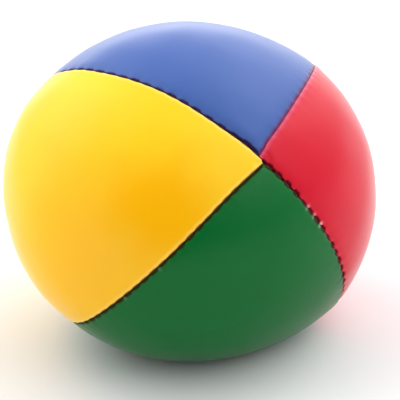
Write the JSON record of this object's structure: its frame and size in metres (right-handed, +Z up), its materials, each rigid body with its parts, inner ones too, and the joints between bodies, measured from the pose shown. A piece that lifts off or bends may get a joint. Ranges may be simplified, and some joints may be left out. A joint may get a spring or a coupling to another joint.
{
  "type": "bean bag juggling ball",
  "caption": "Soft stitched juggling ball of coloured leatherette gores with a seed filling, settled on a small flat so that it stays where it lands.",
  "frame": {"origin": "centre of the ball's box, on the surface that it stands on", "axes": "+Z up out of the surface it stands on; +X to the right and +Y away, as seen from the side that one pole is turned to"},
  "size_m": [0.068, 0.0626, 0.0557],
  "materials": {
    "leatherette_yellow": "glossy coated leatherette",
    "leatherette_green": "glossy coated leatherette",
    "leatherette_red": "glossy coated leatherette",
    "leatherette_blue": "glossy coated leatherette",
    "millet": "dry seed",
    "thread": "waxed polyester sewing thread"
  },
  "bodies": {
    "root": {"panel_yellow": "leatherette_yellow", "panel_green": "leatherette_green", "panel_red": "leatherette_red", "panel_blue": "leatherette_blue", "millet_filling": "millet", "seam_thread_yellow_blue": "thread", "seam_thread_red_green": "thread", "joining_thread": "thread", "closing_thread": "thread"}
  },
  "joints": []
}
